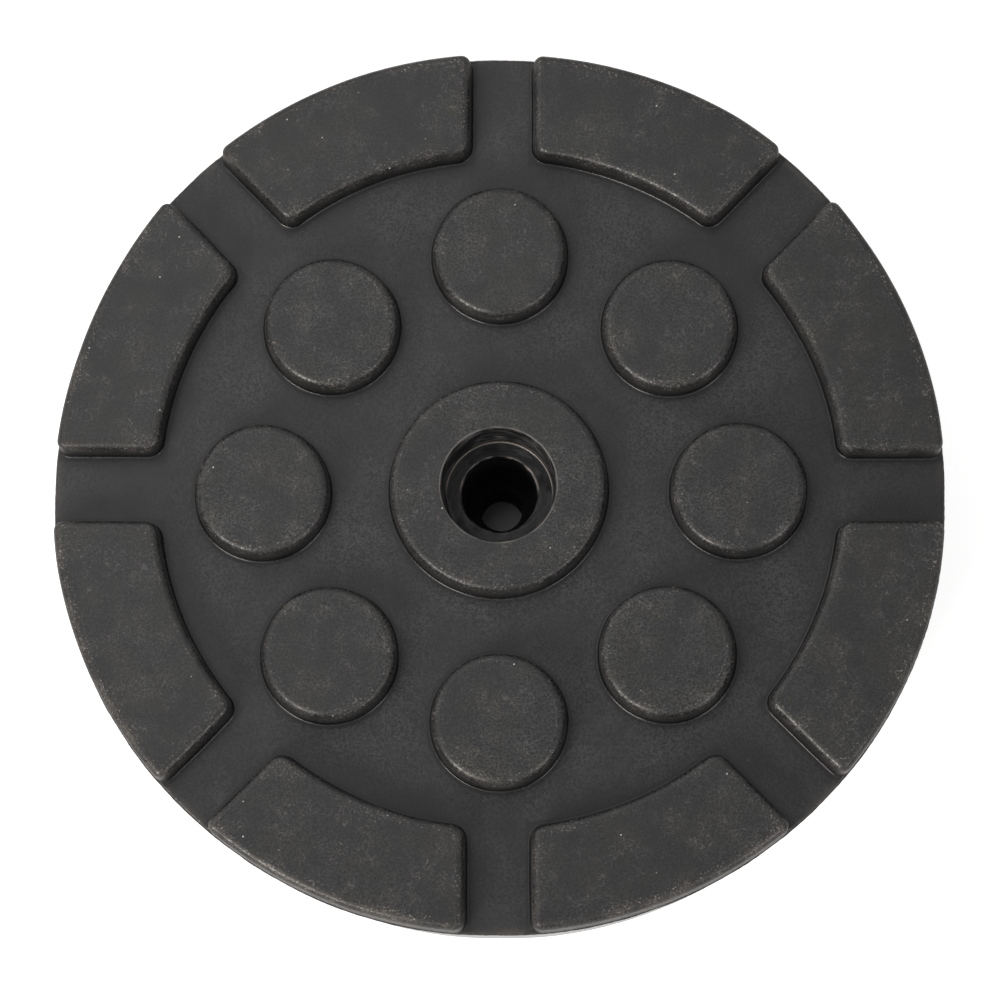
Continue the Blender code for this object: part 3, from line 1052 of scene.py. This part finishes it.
# %% Rubber roughness and relief
shader.inputs["Specular IOR Level"].default_value = 0.25
steep = falling(dust_and_wall_shade, 0.0, 0.3)
foot = product(falling(dust_and_wall_shade, 0.90, 1.0), falling(up, FLOOR + 0.3 * MM, FLOOR + 0.6 * MM))
dull = added(ramp(dust_and_wall_shade, 0.84, 1.0, 0.30, 0.47),
             ramp(sand, 0.3, 0.7, -0.04, 0.08),
             product(edge_wear, edge_wear, ramp(grit, 0.35, 0.65, -0.12, 0.20)),
             product(steep, outer, ramp(up, 22.5 * MM, FLOOR, -0.06, 0.18)),
             product(foot, minus(1.0, outer), -0.12),
             product(in_hole, ramp(marks, 0.35, 0.65, 0.0, 0.35)),
             product(in_hole, minus(1.0, painted_depth_light), 0.5))
wire(dull, shader.inputs["Roughness"])
height = added(product(sand, eased(raised, 0.5, 0.7)), product(edge_wear, grit, 1.2),
               product(in_hole, marks, 2.5))
bump = add_node(paint, "ShaderNodeBump", Strength=0.6, Distance=0.05 * MM)
wire(height, bump.inputs["Height"])
wire(bump.outputs[0], shader.inputs["Normal"])
print("rubber:", len(paint.nodes), "nodes")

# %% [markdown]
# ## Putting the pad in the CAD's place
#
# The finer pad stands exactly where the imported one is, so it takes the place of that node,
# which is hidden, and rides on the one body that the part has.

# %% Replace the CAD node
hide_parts("jack_pad")
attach(pad, "root")

# %% [markdown]
# ## The camera
#
# The photographer stood a long lens nearly straight above the pad, tipped eleven degrees towards
# its front, so that the far walls hide and the near ones just show. A long lens far away keeps
# the eight studs nearly equal in size. The camera is built from its own three directions, because
# it is also turned a little about its view, which squares up the pad in the frame.

# %% Camera
CAMERA_TILT = math.radians(11.05)
CAMERA_SIDE = math.radians(6.33)
CAMERA_ROLL = math.radians(-6.28)
CAMERA_PITCH = math.radians(-0.105)
CAMERA_DISTANCE = 711.0 * MM
SENSOR_MM = 36.0
LENS_MM = 190.4
view_data = bpy.data.cameras.new("camera")
view_data.sensor_width = SENSOR_MM
view_data.lens = LENS_MM
camera = placed("camera", view_data)
away = Vector((math.sin(CAMERA_TILT) * math.sin(CAMERA_SIDE),
               -math.sin(CAMERA_TILT) * math.cos(CAMERA_SIDE), math.cos(CAMERA_TILT)))
right = Vector((math.cos(CAMERA_SIDE), math.sin(CAMERA_SIDE), 0.0))
aim = Matrix((right, away.cross(right), away)).transposed().to_4x4()
aim = aim @ Matrix.Rotation(CAMERA_PITCH, 4, "X") @ Matrix.Rotation(CAMERA_ROLL, 4, "Z")
camera.matrix_world = Matrix.Translation(Vector((0.0, 0.0, FLOOR)) + away * CAMERA_DISTANCE) @ aim
bpy.context.scene.camera = camera
print("camera stands", [round(x, 3) for x in camera.location])

# %% [markdown]
# ## A white floor that keeps the shadow
#
# The background of the photograph is pure white, with only a breath of shadow beside the pad. A
# floor lit to white would flood the rubber with light. So the floor is a plain pale one, and
# only what the camera and mirror-like rays see of it is topped up to white. The topping stops
# under the pad, where no light comes, because a lens of that floor shows through the hole.

# %% Floor
FLOOR_SIZE = 3.0
FLOOR_GREY = 0.45
# Painted light: under the pad the floor is a paler grey than outside, which lifts the patch of it seen
# through the hole.
UNDER_PAD_PAINTED_LIGHT_GREY = 0.55
FLOOR_GLOW = 0.82
FOOT_RADIUS = 57.0 * MM


def seen_plainly(tree):
    """1 for the rays that come from the camera, a mirror or clear glass, and 0 for the others."""
    rays = add_node(tree, "ShaderNodeLightPath").outputs
    either = math_node(tree, "MAXIMUM", rays["Is Camera Ray"], rays["Is Glossy Ray"])
    return math_node(tree, "MAXIMUM", either, rays["Is Transmission Ray"])


floor_mesh = bpy.data.meshes.new("studio_floor")
half = FLOOR_SIZE / 2.0
floor_mesh.from_pydata([(-half, -half, 0.0), (half, -half, 0.0), (half, half, 0.0), (-half, half, 0.0)],
                       [], [(0, 1, 2, 3)])
placed("studio_floor", floor_mesh)
white = bpy.data.materials.new("white_floor")
white.use_nodes = True
sheet = white.node_tree
matt = sheet.nodes["Principled BSDF"]
matt.inputs["Roughness"].default_value = 0.9
matt.inputs["Specular IOR Level"].default_value = 0.0
under = add_node(sheet, "ShaderNodeVectorMath", {"operation": "LENGTH"})
sheet.links.new(add_node(sheet, "ShaderNodeTexCoord").outputs["Object"], under.inputs[0])
clear_of_pad = math_node(sheet, "GREATER_THAN", under.outputs["Value"], FOOT_RADIUS)
topped = math_node(sheet, "MULTIPLY", seen_plainly(sheet), clear_of_pad)
# Paler floor under the pad, a painted light; the plain grey outside it.
paper = add_node(sheet, "ShaderNodeMix", {"data_type": "RGBA"})
sheet.links.new(clear_of_pad, paper.inputs[0])
for place, grey in ((6, UNDER_PAD_PAINTED_LIGHT_GREY), (7, FLOOR_GREY)):
    paper.inputs[place].default_value = (grey, grey, grey, 1.0)
sheet.links.new(paper.outputs[2], matt.inputs["Base Color"])
glow = add_node(sheet, "ShaderNodeEmission")
sheet.links.new(math_node(sheet, "MULTIPLY", topped, FLOOR_GLOW), glow.inputs["Strength"])
both = add_node(sheet, "ShaderNodeAddShader")
for place, surface in enumerate((matt, glow)):
    sheet.links.new(surface.outputs[0], both.inputs[place])
sheet.links.new(both.outputs[0], sheet.nodes["Material Output"].inputs["Surface"])
floor_mesh.materials.append(white)
print("floor:", FLOOR_SIZE, "m square")

# %% [markdown]
# ## Soft studio light
#
# A large soft box hangs over the far left of the pad like a window, and makes the tops brighter
# there than near the right. A low, wide strip in front on the left, slightly warm, rakes across
# the pad, so every rounding that faces it carries a light line while the walls stay nearly black.
# A faint strip on the right lifts the walls that the window leaves dark. A pale, even world stands
# for the white room and fills the rest.

# %% Lamps
def soft_box(name, azimuth_deg, elevation_deg, distance, size, power, colour):
    """A rectangular area light that faces the middle of the pad."""
    data = bpy.data.lights.new(name, "AREA")
    data.shape = "RECTANGLE"
    data.size, data.size_y = size
    data.energy = power
    data.color = colour
    lamp = placed(name, data)
    azimuth, elevation = math.radians(azimuth_deg), math.radians(elevation_deg)
    towards = Vector((math.cos(azimuth) * math.cos(elevation), math.sin(azimuth) * math.cos(elevation),
                      math.sin(elevation)))
    lamp.location = towards * distance
    lamp.rotation_euler = towards.to_track_quat("Z", "Y").to_euler()
    lamp.visible_camera = False


soft_box("window_box", 132.0, 58.0, 0.32, (0.30, 0.30), 0.57, (1.0, 1.0, 1.0))
soft_box("edge_strip", 231.0, 31.0, 0.60, (0.32, 0.20), 4.3, (1.0, 0.94, 0.88))
soft_box("far_strip", 318.0, 30.0, 0.60, (0.26, 0.16), 1.1, (1.0, 0.97, 0.95))

# %% White room
ROOM_LIGHT = 0.20
world = bpy.data.worlds.new("white_room")
world.use_nodes = True
bpy.context.scene.world = world
room = world.node_tree
sky = room.nodes["Background"]
sky.inputs["Color"].default_value = (1.0, 1.0, 1.0, 1.0)
topped = math_node(room, "MULTIPLY", seen_plainly(room), 1.0 - ROOM_LIGHT)
room.links.new(math_node(room, "ADD", topped, ROOM_LIGHT), sky.inputs["Strength"])
bpy.context.scene.view_settings.view_transform = "Standard"
print("room light:", ROOM_LIGHT)
